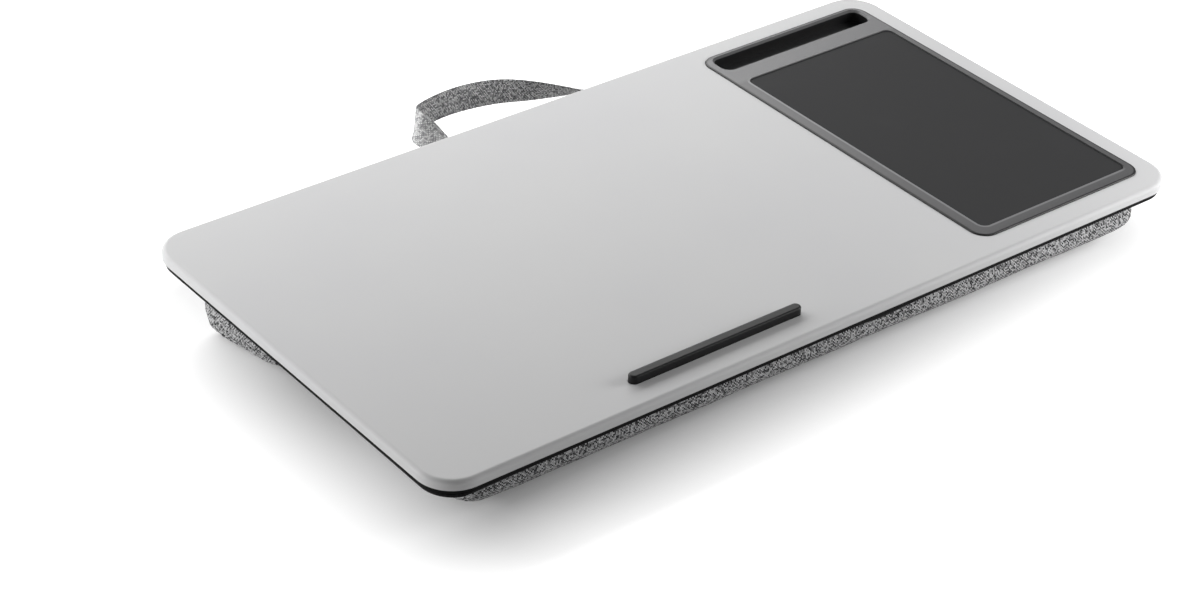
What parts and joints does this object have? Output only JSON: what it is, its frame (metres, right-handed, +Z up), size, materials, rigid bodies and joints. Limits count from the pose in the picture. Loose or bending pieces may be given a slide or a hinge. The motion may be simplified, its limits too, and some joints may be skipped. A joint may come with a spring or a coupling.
{
  "type": "lap tray",
  "caption": "Lap tray with a two-bolster cushion: a sloped board with a mouse pad, a phone slot, a ledge that stops a laptop and a carrying strap.",
  "frame": {"origin": "on the floor under the middle of the tray's overall width and depth, the strap's loop included", "axes": "+X to the user's right (the mouse pad's side), +Y to the rear (the strap's side), +Z up"},
  "size_m": [0.575, 0.3608, 0.0659],
  "materials": {
    "shell_plastic": "satin, moulded",
    "base_plastic": "matt",
    "frame_plastic": "satin, moulded",
    "trough_plastic": "matt",
    "pad_rubber": "matt, fine grain",
    "adhesive_film": "matt film",
    "ledge_rubber": "matt",
    "screw_steel": "plain",
    "backing_fabric": "plain cloth",
    "cover_fabric": "woven, two greys",
    "filling_fibre": "loose fibre",
    "strap_fabric": "woven, hemmed"
  },
  "bodies": {
    "tray": {"top_shell": "shell_plastic", "base_panel": "base_plastic", "base_screws": "screw_steel", "insert_frame": "frame_plastic", "insert_screws": "screw_steel", "phone_trough": "trough_plastic", "mouse_pad": "pad_rubber", "pad_adhesive": "adhesive_film", "device_ledge": "ledge_rubber", "ledge_screws": "screw_steel", "backing_cloth": "backing_fabric", "rear_bolster_cover": "cover_fabric", "rear_bolster_filling": "filling_fibre", "front_bolster_cover": "cover_fabric", "front_bolster_filling": "filling_fibre", "valley_strip": "cover_fabric", "strap_anchor_left": "strap_fabric", "strap_anchor_right": "strap_fabric"},
    "handle": {"handle_strap": "strap_fabric"}
  },
  "joints": [
    {"name": "handle_swing", "type": "hinge", "parent": "tray", "child": "handle", "pos_m": [0, 0.12774, 0.04759], "axis": [1, 0, 0], "range_deg": [-50, 70]}
  ]
}
